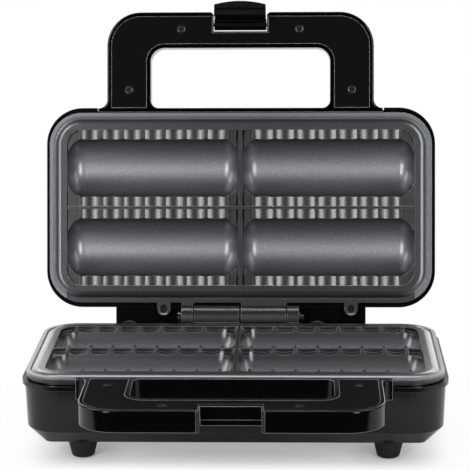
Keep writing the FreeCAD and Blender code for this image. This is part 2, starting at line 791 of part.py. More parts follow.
def tub_section(body, level, inset, corner=""):
    sketch = new_sketch(body, "XY_Plane", level)
    housing_outline(sketch, inset, corner)
    return sketch


def housing(label, half, depth):
    """Moulded tub with a rounded lip, a bevelled bottom and the hinge box behind it."""
    body = new_body(label)
    lip_bottom = "{lip_top} - {lip_height}"
    bevel_top = "{chamfer_height} - " + depth
    drafted = "{lip_step} + {side_draft}"
    outside = [
        tub_section(body, lip_bottom, "{lip_step}"),
        tub_section(body, bevel_top, drafted),
        tub_section(body, "-" + depth, drafted + " + {chamfer_inset}", "{chamfer_corner}"),
    ]
    loft(body, "AdditiveLoft", outside)
    lip = tub_section(body, "{lip_top}", "0")
    pad(body, lip, "{lip_height}", reverse=True)
    # Hinge box: a recess under the knuckles and a slanted face that stops the lid.
    wall_line = "{plate_rear} + {lip_rear} - {lip_step} - {wall}"
    bevel_line = "{plate_rear} + {lip_rear} - {lip_step} - {side_draft} - {chamfer_inset} - {wall}"
    sketch = new_sketch(body, "YZ_Plane")
    outline(sketch, [
        (wall_line, "-{hinge_floor_drop}"),
        (bevel_line, "-" + depth),
        ("{hinge_box_rear} - {hinge_box_chamfer}", "-" + depth),
        ("{hinge_box_rear}", "{hinge_box_chamfer} - " + depth),
        ("{hinge_box_rear}", "-{stop_end_drop}"),
        ("{stop_start}", "-{hinge_floor_drop}"),
    ])
    pad(body, sketch, "2 * {hinge_box_half}", both_ways=True)
    # Hollow of the tub, then the hollow of the box, which opens into it.
    floor = "({wall} - " + depth + ")"
    bevel_share = "{chamfer_inset} * (1 - {wall} / {chamfer_height}) + 1.5 * {wall}"
    inside = [
        tub_section(body, "{lip_top} + 1", "{lip_step} + {wall}"),
        tub_section(body, bevel_top, drafted + " + {wall}"),
        tub_section(body, floor, drafted + " + " + bevel_share),
    ]
    loft(body, "SubtractiveLoft", inside)
    thick = "({stop_gap} + {wall}) / sin({open_angle} / 2)"
    back = "{hinge_box_rear} - {wall}"
    cavity_front = bevel_line + " - 3 * {wall}"
    sketch = new_sketch(body, "YZ_Plane")
    outline(sketch, [
        (cavity_front, "-{hinge_floor_drop} - {wall}"),
        (cavity_front, floor),
        (back + " - {hinge_box_chamfer} + 0.6 * {wall}", floor),
        (back, "{hinge_box_chamfer} + 0.4 * {wall} - " + depth),
        (back, "-(" + back + " + " + thick + ") * {stop_slope}"),
        ("({hinge_floor_drop} + {wall}) / {stop_slope} - " + thick, "-{hinge_floor_drop} - {wall}"),
    ])
    pocket(body, sketch, "2 * ({hinge_box_half} - {wall})", both_ways=True)
    # The lip stops at the handle's root and at the plate's webs and ears.
    sketch = new_sketch(body, "XY_Plane", "{lip_top}")
    side = "{flange_half} + 2 * {plate_gap}"
    rectangle(sketch, "-(" + side + ")", side, "{plate_front} - {lip_front} - 1", "{housing_front}")
    lip_edge = "{plate_rear} + {lip_rear} + 1"
    for left, right in (
        ("-{knuckle_end}", "-{knuckle_gap}"),
        ("{lug_start}", "{lug_end}"),
        ("{ear_near} - {ear_radius}", "{ear_near} + {ear_radius}"),
        ("-{ear_far} - {ear_radius}", "-{ear_far} + {ear_radius}"),
    ):
        rectangle(sketch, left + " - {plate_gap}", right + " + {plate_gap}", wall_line + " - 1", lip_edge)
    pocket(body, sketch, "{lip_height}")
    # Posts under the plate and bosses for its two screws.
    sketch = new_sketch(body, "XY_Plane", "{slab_bottom}")
    for x in mirror_x("{post_offset}"):
        circle(sketch, x, "{row_middle}", "{post_radius}")
    pad(body, sketch, "{slab_bottom} - " + floor, reverse=True)
    for x in ("{ear_near}", "-{ear_far}"):
        sketch = new_sketch(body, "XY_Plane", "-{ear_drop} - {ear_depth}")
        circle(sketch, x, "-{ear_setback}", "{ear_radius}")
        pad(body, sketch, "{ear_boss_length}", reverse=True)
    sketch = new_sketch(body, "XY_Plane", "-{ear_drop} - {ear_depth}")
    for x in ("{ear_near}", "-{ear_far}"):
        circle(sketch, x, "-{ear_setback}", "{screw_radius} + {screw_play}")
    pocket(body, sketch, "{screw_length}")
    set_on(body, half)
    return body


base_housing = housing("base_housing", "base", "{base_depth}")
lid_housing = housing("lid_housing", "lid", "{lid_depth}")

# Holes for the feet in the base's floor and for the cord's gland behind.
foot_places = [(x, "-{front_foot_reach}") for x in mirror_x("{front_foot_x}")]
foot_places += [(x, "{rear_foot_y}") for x in mirror_x("{rear_foot_x}")]
sketch = new_sketch(base_housing, "XY_Plane", "{wall} - {base_depth}")
for x, y in foot_places:
    circle(sketch, x, y, "{foot_stud} + {screw_play}")
pocket(base_housing, sketch, "2 * {wall}")
sketch = new_sketch(base_housing, "XZ_Plane", "-{hinge_box_rear}")
circle(sketch, "{gland_x}", "-{gland_drop}", "{gland_radius} + {screw_play}")
pocket(base_housing, sketch, "2 * {wall}", both_ways=True)

# Holes for the two lamp lenses in the lid's outer face.
sketch = new_sketch(lid_housing, "XY_Plane", "{wall} - {lid_depth}")
for x in mirror_x("{lens_offset}"):
    circle(sketch, x, "-{lens_reach}", "{lens_radius} + {screw_play}")
pocket(lid_housing, sketch, "2 * {wall}")


# ---------------------------------------------------------------- handles


def handle_top_edge(edge):
    """Test for the outer edge of the grip's top, not its root, window or notch."""
    if not near(edge.BoundBox.ZMin, size_of("{handle_top}")):
        return False
    if not near(edge.BoundBox.ZMax, size_of("{handle_top}")):
        return False
    middle = edge.CenterOfMass
    side = size_of("{handle_half}")
    if near(abs(middle.x), side) or near(middle.y, -size_of("{handle_reach}")):
        return True
    corner = size_of("{handle_corner}")
    return hasattr(edge.Curve, "Radius") and near(edge.Curve.Radius, corner)


def cover_outline(sketch, inset):
    """The U that follows the grip at an inset, which is smaller beside the notch."""
    inset = "(" + inset + ")"
    close = "(" + inset + " - {cover_inset} + {cover_notch_inset})"
    edge = "({handle_half} - " + inset + ")"
    window = "({window_half} + " + inset + ")"
    notch = "({notch_half} + " + close + ")"
    root = "{plate_front} - {plate_gap} - " + inset
    tip = "-{handle_reach} + " + inset
    bar = "-{window_end} - " + inset
    seat = "-{handle_reach} + {notch_depth} + " + close
    outer = "{handle_corner} - " + inset
    inner = "{window_corner} + " + inset
    outline(sketch, [
        ("-" + window, root), ("-" + window, bar, inner), (window, bar, inner), (window, root),
        (edge, root), (edge, tip, outer), (notch, tip), (notch, seat),
        ("-" + notch, seat), ("-" + notch, tip), ("-" + edge, tip, outer), ("-" + edge, root),
    ])


def handle(label, half):
    """Loop grip with its root flange, screw bosses and the notch of the latch."""
    body = new_body(label)
    root = "{housing_front}"
    sketch = new_sketch(body, "XY_Plane", "{handle_top}")
    rectangle(sketch, "-{handle_half}", "{handle_half}", "-{handle_reach}", root)
    pad(body, sketch, "{handle_thick}", reverse=True)
    corners = [upright(x, "-{handle_reach}") for x in mirror_x("{handle_half}")]
    soften(body, either(*corners), "{handle_corner}")
    # Root flange against the housing, with a strip that closes the gap to the plate.
    flange_front = root + " - {flange_thick}"
    sketch = new_sketch(body, "XY_Plane", "{handle_top}")
    rectangle(sketch, "-{flange_half}", "{flange_half}", flange_front, root)
    pad(body, sketch, "{handle_thick}", reverse=True)
    sketch = new_sketch(body, "XY_Plane", "{handle_top}")
    rectangle(sketch, "-{flange_half}", "{flange_half}", root, "{plate_front} - {plate_gap}")
    pad(body, sketch, "{handle_top} - {lip_top} - {seat_gap}", reverse=True)
    flares = [upright(x, flange_front) for x in mirror_x("{handle_half}")]
    soften(body, either(*flares), "{flare_radius}")
    soften(body, handle_top_edge, "{rim_fillet}")
    # Window for the fingers.
    sketch = new_sketch(body, "XY_Plane", "{handle_top}")
    rectangle(sketch, "-{window_half}", "{window_half}", "-{window_end}", flange_front)
    pocket(body, sketch, "{handle_thick}")
    far = [upright(x, "-{window_end}") for x in mirror_x("{window_half}")]
    close = [upright(x, flange_front) for x in mirror_x("{window_half}")]
    soften(body, either(*far), "{window_corner}")
    soften(body, either(*close), "{window_root_corner}")
    # Recess for the cover, and the hollow limbs under it.
    sketch = new_sketch(body, "XY_Plane", "{handle_top}")
    cover_outline(sketch, "{cover_inset} - {cover_gap}")
    pocket(body, sketch, "{cover_thick}")
    sketch = new_sketch(body, "XY_Plane", "{handle_top}")
    limb = "({handle_half} - {handle_wall})"
    inner = "({window_half} + {handle_wall})"
    stop = "({notch_half} + {handle_wall})"
    tip = "-{handle_reach} + {handle_wall}"
    bar = "-{window_end} - {handle_wall}"
    foot = flange_front + " - {handle_wall}"
    outer = "{handle_corner} - {handle_wall}"
    for sign in ("", "-"):
        outline(sketch, [
            (sign + limb, foot), (sign + limb, tip, outer), (sign + stop, tip),
            (sign + stop, bar), (sign + inner, bar), (sign + inner, foot),
        ])
    pocket(body, sketch, "{handle_thick} - {handle_floor}")
    sketch = new_sketch(body, "XY_Plane", "{cover_bottom}")
    for x, y in cover_screws:
        circle(sketch, x, y, "{screw_boss}")
    pad(body, sketch, "{handle_thick} - {cover_thick} - {handle_floor}", reverse=True)
    sketch = new_sketch(body, "XY_Plane", "{cover_bottom}")
    for x, y in cover_screws:
        circle(sketch, x, y, "{screw_radius} + {screw_play}")
    pocket(body, sketch, "{screw_length} - {screw_sink}")
    set_on(body, half)
    return body


def notch_outline(sketch, seat):
    """The notch in the grip's end, wider at its mouth."""
    wide = "({notch_half} + {notch_corner})"
    narrow = "-{handle_reach} + {notch_corner}"
    outline(sketch, [
        ("-" + wide, "-{handle_reach} - 1"), (wide, "-{handle_reach} - 1"),
        (wide, "-{handle_reach}"), ("{notch_half}", narrow), ("{notch_half}", seat),
        ("-{notch_half}", seat), ("-{notch_half}", narrow), ("-" + wide, "-{handle_reach}"),
    ])


cover_screws = [(x, "-{side_screw_reach}") for x in mirror_x("{side_screw_x}")]
cover_screws += [(x, "-{end_screw_reach}") for x in mirror_x("{end_screw_x}")]

upper_handle = handle("upper_handle", "lid")
sketch = new_sketch(upper_handle, "XY_Plane", "{handle_top}")
notch_outline(sketch, "-{handle_reach} + {notch_depth}")
pocket(upper_handle, sketch, "{handle_thick}")
sketch = new_sketch(upper_handle, "YZ_Plane")
circle(sketch, "-{latch_reach}", "-{latch_drop}", "{latch_pin_radius} + {pin_play}")
pocket(upper_handle, sketch, "2 * ({notch_half} + {latch_pin_grip})", both_ways=True)

lower_handle = handle("lower_handle", "base")
sketch = new_sketch(lower_handle, "XY_Plane", "{handle_top}")
notch_outline(sketch, "-{handle_reach} + {ledge_depth}")
pocket(lower_handle, sketch, "{handle_thick}")
sketch = new_sketch(lower_handle, "XY_Plane", "-{ledge_drop}")
notch_outline(sketch, "-{handle_reach} + {ledge_depth} + {hook_room}")
pocket(lower_handle, sketch, "{handle_thick}")


def handle_cover(label, half):
    """Inset cover of the grip, held by four sunk screws."""
    body = new_body(label)
    sketch = new_sketch(body, "XY_Plane", "{handle_top}")
    cover_outline(sketch, "{cover_inset}")
    pad(body, sketch, "{cover_thick}", reverse=True)
    sketch = new_sketch(body, "XY_Plane", "{handle_top}")
    for x, y in cover_screws:
        circle(sketch, x, y, "{screw_radius} + {screw_play}")
    pocket(body, sketch, "{cover_thick}")
    sketch = new_sketch(body, "XY_Plane", "{handle_top}")
    for x, y in cover_screws:
        circle(sketch, x, y, "{screw_well}")
    pocket(body, sketch, "{screw_sink}")
    set_on(body, half)
    return body


lower_handle_cover = handle_cover("lower_handle_cover", "base")
upper_handle_cover = twin("upper_handle_cover", lower_handle_cover, "lid")


# ---------------------------------------------------------------- latch


latch_clip = new_body("latch_clip")
sketch = new_sketch(latch_clip, "YZ_Plane")
outer = "-({latch_inner} + {latch_arm})"
outline(sketch, [
    ("-{latch_inner}", "0"),
    ("-{latch_inner}", "{latch_lip_start}"),
    ("{latch_lip_reach}", "{latch_lip_start}"),
    ("{latch_lip_reach}", "{latch_lip_start} + {latch_lip_thick}"),
    ("-{latch_inner}", "{latch_lip_start} + {latch_lip_thick}"),
    ("-{latch_inner}", "{latch_tip}"),
    (outer, "{latch_tip}"),
    (outer, "0"),
])
pad(latch_clip, sketch, "2 * {latch_half}", both_ways=True)
# The outer face is bowed from side to side.
sketch = new_sketch(latch_clip, "XY_Plane")
crown(sketch, "{latch_half}", outer, "{latch_bow}")
pad(latch_clip, sketch, "{latch_tip}")
sketch = new_sketch(latch_clip, "YZ_Plane")
circle(sketch, "0", "0", "{latch_barrel}")
pad(latch_clip, sketch, "2 * ({notch_half} - {latch_side_gap})", both_ways=True)
sketch = new_sketch(latch_clip, "YZ_Plane")
circle(sketch, "0", "0", "{latch_pin_radius} + {pin_play}")
pocket(latch_clip, sketch, "2 * {notch_half}", both_ways=True)
latch_rest = " * placement(vector(0; -{latch_reach}; -{latch_drop}); rotation(vector(1; 0; 0); {latch_rest_angle}))"
set_on(latch_clip, "lid", latch_rest)

latch_pin = new_body("latch_pin")
sketch = new_sketch(latch_pin, "YZ_Plane")
circle(sketch, "-{latch_reach}", "-{latch_drop}", "{latch_pin_radius}")
pad(latch_pin, sketch, "2 * ({notch_half} + {latch_pin_grip})", both_ways=True)
set_on(latch_pin, "lid")


# ---------------------------------------------------------------- hinge pin and screws


hinge_pin = new_body("hinge_pin")
sketch = new_sketch(hinge_pin, "YZ_Plane", "-{lug_end} - {seat_gap}")
circle(sketch, "0", "0", "{pin_radius}")
pad(hinge_pin, sketch, "2 * ({lug_end} + {seat_gap}) + {pin_overhang}")
sketch = new_sketch(hinge_pin, "YZ_Plane", "-{lug_end} - {seat_gap}")
circle(sketch, "0", "0", "{pin_head_radius}")
pad(hinge_pin, sketch, "{pin_head_length}", reverse=True)
sketch = new_sketch(hinge_pin, "YZ_Plane", "{lug_end} + {seat_gap}")
circle(sketch, "0", "0", "{pin_radius} + 1")
circle(sketch, "0", "0", "{clip_groove_radius}")
pocket(hinge_pin, sketch, "{clip_thick} + {pin_play}", reverse=True)
set_on(hinge_pin, "base")

hinge_pin_clip = new_body("hinge_pin_clip")
sketch = new_sketch(hinge_pin_clip, "YZ_Plane", "{lug_end} + {seat_gap}")
circle(sketch, "0", "0", "{clip_radius}")
circle(sketch, "0", "0", "{clip_groove_radius} + {pin_play}")
pad(hinge_pin_clip, sketch, "{clip_thick}")
sketch = new_sketch(hinge_pin_clip, "YZ_Plane", "{lug_end} + {seat_gap}")
mouth = "{clip_groove_radius} - 2 * {pin_play}"
rectangle(sketch, "-(" + mouth + ")", mouth, "-2 * {clip_radius}", "0")
pocket(hinge_pin_clip, sketch, "{clip_thick}", reverse=True)
set_on(hinge_pin_clip, "base")


def screws(label, half, places, seat, length):
    """Pan-head screws that stand on one level, each a solid of its own."""
    shanks = []
    for x, y in places:
        shank = doc.addObject("Part::Cylinder", "Shank")
        shank.setExpression("Radius", formula("{screw_radius}"))
        shank.setExpression("Height", formula(length + " + {screw_head_height}"))
        low = seat + " - (" + length + ")"
        shank.setExpression("Placement.Base.x", formula(x))
        shank.setExpression("Placement.Base.y", formula(y))
        shank.setExpression("Placement.Base.z", formula(low))
        head = doc.addObject("Part::Cylinder", "Head")
        head.setExpression("Radius", formula("{screw_head_radius}"))
        head.setExpression("Height", formula("{screw_head_height}"))
        head.setExpression("Placement.Base.x", formula(x))
        head.setExpression("Placement.Base.y", formula(y))
        head.setExpression("Placement.Base.z", formula(seat))
        screw = doc.addObject("Part::Fuse", "Screw")
        screw.Base = head
        screw.Tool = shank
        shanks.append(screw)
    group = doc.addObject("Part::Compound", label)
    group.Label = label
    group.Links = shanks
    set_on(group, half)
    return group


ear_places = [("{ear_near}", "-{ear_setback}"), ("-{ear_far}", "-{ear_setback}")]
ear_seat = "-{ear_drop} - {ear_depth} + {ear_floor}"
cover_seat = "-{handle_drop} - {screw_sink}"
lower_plate_screws = screws("lower_plate_screws", "base", ear_places, ear_seat, "{screw_length}")
upper_plate_screws = screws("upper_plate_screws", "lid", ear_places, ear_seat, "{screw_length}")
lower_cover_screws = screws("lower_cover_screws", "base", cover_screws, cover_seat, "{cover_screw_length}")
upper_cover_screws = screws("upper_cover_screws", "lid", cover_screws, cover_seat, "{cover_screw_length}")


# ---------------------------------------------------------------- heating parts


def heating_element(label, half):
    """Sheathed element bent into a U under the two rows of wells."""
    body = new_body(label)
    bend = "({rear_row} - {front_row}) / 2"
    straight = "{element_half} - " + bend
    sketch = new_sketch(body, "YZ_Plane", "-{element_half}")
    for row in ("{front_row}", "{rear_row}"):
        circle(sketch, row, "-{element_drop}", "{element_pin_radius}")
    pad(body, sketch, "{element_pin_length}", reverse=True)
    path = new_sketch(body, "XY_Plane", "-{element_drop}")
    hairpin(path, "-{element_half}", straight, "{front_row}", "{rear_row}")
    profile = new_sketch(body, "YZ_Plane", "-{element_half}")
    circle(profile, "{front_row}", "-{element_drop}", "{element_radius}")
    sweep = body.newObject("PartDesign::AdditivePipe", "Sheath")
    sweep.Profile = profile
    sweep.Spine = (path, [])
    doc.recompute()
    set_on(body, half)
    return body


lower_heating_element = heating_element("lower_heating_element", "base")
upper_heating_element = heating_element("upper_heating_element", "lid")


def heat_reflector(label, half):
    """Bent sheet between the element and the housing's floor."""
    body = new_body(label)
    front = "{plate_front} + {reflector_margin}"
    rear = "{plate_rear} - {reflector_margin}"
    thick = "{reflector_thick}"
    sketch = new_sketch(body, "XY_Plane", "{reflector_top}")
    rectangle(sketch, "-{reflector_half}", "{reflector_half}", front, rear)
    pad(body, sketch, "{reflector_flange}", reverse=True)
    sketch = new_sketch(body, "XY_Plane", "{reflector_top} - " + thick)
    side = "({reflector_half} - " + thick + ")"
    rectangle(sketch, "-" + side, side, front + " + " + thick, rear + " - " + thick)
    pocket(body, sketch, "{reflector_flange}")
    sketch = new_sketch(body, "XY_Plane", "{reflector_top}")
    for x in mirror_x("{post_offset}"):
        circle(sketch, x, "{row_middle}", "{post_radius} + {post_gap}")
    pocket(body, sketch, thick)
    set_on(body, half)
    return body


lower_heat_reflector = heat_reflector("lower_heat_reflector", "base")
upper_heat_reflector = twin("upper_heat_reflector", lower_heat_reflector, "lid")

thermostat = new_body("thermostat")
sketch = new_sketch(thermostat, "XY_Plane", "{trough_bottom} - {seat_gap}")
circle(sketch, "{thermostat_x}", "{row_middle}", "{thermostat_radius}")
pad(thermostat, sketch, "{thermostat_height}", reverse=True)
sketch = new_sketch(thermostat, "XY_Plane", "{trough_bottom} - {seat_gap} - {thermostat_height} / 2")
reach = "({thermostat_radius} + {tab_length})"
rectangle(
    sketch,
    "{thermostat_x} - " + reach,
    "{thermostat_x} + " + reach,
    "{row_middle} - {tab_width} / 2",
    "{row_middle} + {tab_width} / 2",
)
pad(thermostat, sketch, "{tab_thick}", reverse=True)
set_on(thermostat, "base")

thermal_fuse = new_body("thermal_fuse")
sketch = new_sketch(thermal_fuse, "YZ_Plane", "{fuse_x}")
under = "{reflector_top} - {reflector_thick} - {seat_gap} - {fuse_radius}"
circle(sketch, "{row_middle}", under, "{fuse_radius}")
pad(thermal_fuse, sketch, "{fuse_length}", both_ways=True)
set_on(thermal_fuse, "base")

terminal_block = new_body("terminal_block")
sketch = new_sketch(terminal_block, "XY_Plane", "{wall} - {base_depth}")
half_length = "{block_length} / 2"
half_depth = "{block_width} / 2"
rectangle(
    sketch,
    "{block_x} - " + half_length,
    "{block_x} + " + half_length,
    "-{block_setback} - " + half_depth,
    "-{block_setback} + " + half_depth,
)
pad(terminal_block, sketch, "{block_height}")
sketch = new_sketch(terminal_block, "XZ_Plane", "{block_setback}")
for share in ("-1", "0", "1"):
    hole = "{block_x} + " + share + " * {block_pitch}"
    circle(sketch, hole, "{wall} - {base_depth} + {block_height} / 2", "{block_bore}")
pocket(terminal_block, sketch, "2 * {block_width}", both_ways=True)
set_on(terminal_block, "base")


# ---------------------------------------------------------------- lamps, gland and feet


def lamp(name, x):
    """A lens with a flange outside and the lamp that stands behind it."""
    lens = new_body(name + "_lens")
    sketch = new_sketch(lens, "XY_Plane", "-{lid_depth}")
    circle(sketch, x, "-{lens_reach}", "{lens_flange}")
    pad(lens, sketch, "{lens_proud}", reverse=True)
    sketch = new_sketch(lens, "XY_Plane", "-{lid_depth}")
    circle(sketch, x, "-{lens_reach}", "{lens_radius}")
    pad(lens, sketch, "{wall} + {lens_proud}")
    set_on(lens, "lid")
    bulb = new_body(name + "_lamp")
    sketch = new_sketch(bulb, "XY_Plane", "{wall} + {lens_proud} + {seat_gap} - {lid_depth}")
    circle(sketch, x, "-{lens_reach}", "{lamp_radius}")
    pad(bulb, sketch, "{lamp_length}")
    set_on(bulb, "lid")


lamp("power", "-{lens_offset}")
lamp("ready", "{lens_offset}")

cord_gland = new_body("cord_gland")
sketch = new_sketch(cord_gland, "XZ_Plane", "-{hinge_box_rear}")
circle(sketch, "{gland_x}", "-{gland_drop}", "{gland_flange}")
circle(sketch, "{gland_x}", "-{gland_drop}", "{gland_bore}")
pad(cord_gland, sketch, "{gland_proud}", reverse=True)
sketch = new_sketch(cord_gland, "XZ_Plane", "-{hinge_box_rear}")
circle(sketch, "{gland_x}", "-{gland_drop}", "{gland_radius}")
circle(sketch, "{gland_x}", "-{gland_drop}", "{gland_bore}")
pad(cord_gland, sketch, "{wall} + 1")
set_on(cord_gland, "base")


def foot(label, x, y):
    """Tapered rubber foot with a rounded edge and a stud through the floor."""
    body = new_body(label)
    sketch = new_sketch(body, "XZ_Plane", "0", "-{foot_height}")
    outline(sketch, [
        ("0", "0"),
        ("{foot_bottom_radius}", "0", "{foot_edge}"),
        ("{foot_top_radius}", "{foot_height}"),
        ("{foot_stud}", "{foot_height}"),
        ("{foot_stud}", "{foot_height} + {foot_stud_length}"),
        ("0", "{foot_height} + {foot_stud_length}"),
    ])
    turned = body.newObject("PartDesign::Revolution", "Revolution")
    turned.Profile = sketch
    turned.ReferenceAxis = (sketch, ["V_Axis"])
    turned.Angle = 360
    doc.recompute()
    set_on(body, "base", " * placement(vector(" + x + "; " + y + "; -{base_depth}); rotation(vector(0; 0; 1); 0))")


foot_names = ["front_left_foot", "front_right_foot", "rear_left_foot", "rear_right_foot"]
left_first = [foot_places[1], foot_places[0], foot_places[3], foot_places[2]]
for name, (x, y) in zip(foot_names, left_first):
    foot(name, x, y)


# ---------------------------------------------------------------- output

kinds = ("PartDesign::Body", "Part::Compound")
pieces = [item for item in doc.Objects if item.TypeId in kinds]
doc.recompute()
for item in doc.Objects:
    if "Invalid" in item.State or "Error" in item.State:
        raise RuntimeError(item.Label + " failed: " + str(item.State))
for piece in pieces:
    if piece.Shape.isNull() or not piece.Shape.isValid():
        raise RuntimeError(piece.Label + " has no valid shape")
os.makedirs("parts", exist_ok=True)
for piece in pieces:
    piece.Shape.exportStep("parts/%s.step" % piece.Label)
    print(piece.Label, len(piece.Shape.Solids), "solid(s),", round(piece.Shape.Volume), "mm3")
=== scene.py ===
import json
import math
import bmesh
import bpy
from mathutils import Matrix, Vector


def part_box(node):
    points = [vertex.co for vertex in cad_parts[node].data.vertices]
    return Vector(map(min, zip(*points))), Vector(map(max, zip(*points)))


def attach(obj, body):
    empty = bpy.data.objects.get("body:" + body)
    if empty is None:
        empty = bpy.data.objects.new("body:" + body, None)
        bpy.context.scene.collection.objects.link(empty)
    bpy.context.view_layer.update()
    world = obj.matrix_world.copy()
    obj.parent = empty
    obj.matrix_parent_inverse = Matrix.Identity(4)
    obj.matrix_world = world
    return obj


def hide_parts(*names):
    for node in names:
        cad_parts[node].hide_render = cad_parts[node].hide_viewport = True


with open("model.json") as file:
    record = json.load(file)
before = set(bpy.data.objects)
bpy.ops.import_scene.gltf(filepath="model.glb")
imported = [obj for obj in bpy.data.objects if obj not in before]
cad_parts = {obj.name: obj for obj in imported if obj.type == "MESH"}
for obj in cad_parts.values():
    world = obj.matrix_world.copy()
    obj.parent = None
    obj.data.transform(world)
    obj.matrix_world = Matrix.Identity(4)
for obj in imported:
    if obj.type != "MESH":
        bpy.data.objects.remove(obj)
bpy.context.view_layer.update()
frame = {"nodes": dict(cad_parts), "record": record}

nodes = frame["nodes"]
joints = {joint["name"]: joint for joint in frame["record"]["behaviour"]["joints"]}

# the lid stands open at rest, so its plate faces the front
openAngle = math.radians(joints["lid_hinge"]["range_deg"][1])
sideways = (1.0, 0.0, 0.0)
backward = (0.0, 1.0, 0.0)
upward = (0.0, 0.0, 1.0)
lidFacing = (0.0, -math.sin(openAngle), -math.cos(openAngle))
lidRising = (0.0, -math.cos(openAngle), math.sin(openAngle))


def linearColour(hexText):
    channels = [int(hexText[place:place + 2], 16) / 255 for place in (1, 3, 5)]
    linear = [c / 12.92 if c <= 0.04045 else ((c + 0.055) / 1.055) ** 2.4 for c in channels]
    return (*linear, 1.0)


def addNode(tree, kind, values=None, links=None, **settings):
    node = tree.nodes.new(kind)
    for name, value in settings.items():
        setattr(node, name, value)
    for socket, value in (values or {}).items():
        node.inputs[socket].default_value = value
    for socket, source in (links or {}).items():
        tree.links.new(source, node.inputs[socket])
    return node


def newMaterial(name, values):
    material = bpy.data.materials.new(name)
    material.use_nodes = True
    tree = material.node_tree
    tree.nodes.clear()
    shader = addNode(tree, "ShaderNodeBsdfPrincipled", values)
    addNode(tree, "ShaderNodeOutputMaterial", links={"Surface": shader.outputs["BSDF"]})
    return material, tree, shader


def paint(nodeNames, material):
    for name in nodeNames:
        piece = nodes[name]
        piece.data.materials.clear()
        piece.data.materials.append(material)


print("materials")

cornerLook = {
    "samples": 6,
    "edgeHighlightStart": 0.97,        # cosine between the rounded corner and the face beside it
    "edgeHighlightFull": 0.8,
    "grainHeight": 0.1,      # mm, before each finish's own share of it
}


def edgeHighlightShare(tree, edge):
    # share of the painted highlight along the corners: 1 at a corner, where the rounded normal leaves the
    # flat one
    face = addNode(tree, "ShaderNodeNewGeometry")
    facing = addNode(tree, "ShaderNodeVectorMath", links={
        0: edge.outputs["Normal"],
        1: face.outputs["True Normal"],
    }, operation="DOT_PRODUCT")
    share = addNode(tree, "ShaderNodeMapRange", {
        "From Min": cornerLook["edgeHighlightStart"],
        "From Max": cornerLook["edgeHighlightFull"],
    }, {"Value": facing.outputs["Value"]})
    return share.outputs["Result"]


def grainNormal(tree, space, edge, look):
    # the finish's fine unevenness, on top of the rounded corners
    grain = addNode(tree, "ShaderNodeTexNoise", {
        "Scale": 1000 / look["grain"],
        "Detail": 2.0,
    }, {"Vector": space})
    bump = addNode(tree, "ShaderNodeBump", {
        "Strength": look["bump"],
        "Distance": cornerLook["grainHeight"] / 1000,
    }, {"Height": grain.outputs["Fac"], "Normal": edge.outputs["Normal"]})
    return bump.outputs["Normal"]


coatingLook = {
    "base": "#7c7e84",       # charcoal PTFE with aluminium flake, over cast aluminium
    "flake": "#9a9ca2",
    "flakeSize": 0.35,       # mm; real flakes are finer, drawn as coarse as they show
    "flakeShare": 0.3,
    "crest": 0.06,           # painted shade: tone of the crest and strips, darker than the wells
    "wellStart": 5.0,        # mm below the crest, between which the wells are painted lighter towards their bottoms, a painted highlight
    "wellEnd": 16.5,
    "border": 0.1,           # painted shade: tone of the sealing border around the cooking field
    "borderWidth": 12.0,     # mm
    "slopeHighlight": 0.9,           # painted highlight: tone of its outer slope
    "slopeHighlightTop": 0.9,        # mm below the crest
    "slopeHighlightFoot": 2.9,
    "slopeHighlightFade": 0.5,
    "edgeHighlight": "#b4b6ba",     # painted highlight: the rounded corners are drawn lighter, as a glint
    "edge": 0.4,             # mm
    "metallic": 0.85,
    "roughness": 0.5,
    "roughSpread": 0.03,     # from flake to flake
    "coatRoughness": 0.27,
    "coatIor": 1.7,
    "grain": 0.3,            # mm, orange peel of the sprayed coat
    "bump": 0.06,
}


def outsideField(tree, space, plateName, along):
    # 1 on the border around the cooking field, measured along one direction of the plate
    reach = [Vector(along).dot(vertex.co) for vertex in nodes[plateName].data.vertices]
    middle = (max(reach) + min(reach)) / 2
    half = (max(reach) - min(reach)) / 2 - coatingLook["borderWidth"] / 1000
    place = addNode(tree, "ShaderNodeVectorMath", {1: along}, {0: space}, operation="DOT_PRODUCT")
    shifted = addNode(tree, "ShaderNodeMath", {1: middle}, {
        0: place.outputs["Value"],
    }, operation="SUBTRACT")
    away = addNode(tree, "ShaderNodeMath", links={0: shifted.outputs["Value"]}, operation="ABSOLUTE")
    outside = addNode(tree, "ShaderNodeMath", {1: half}, {
        0: away.outputs["Value"],
    }, operation="GREATER_THAN")
    return outside.outputs["Value"]


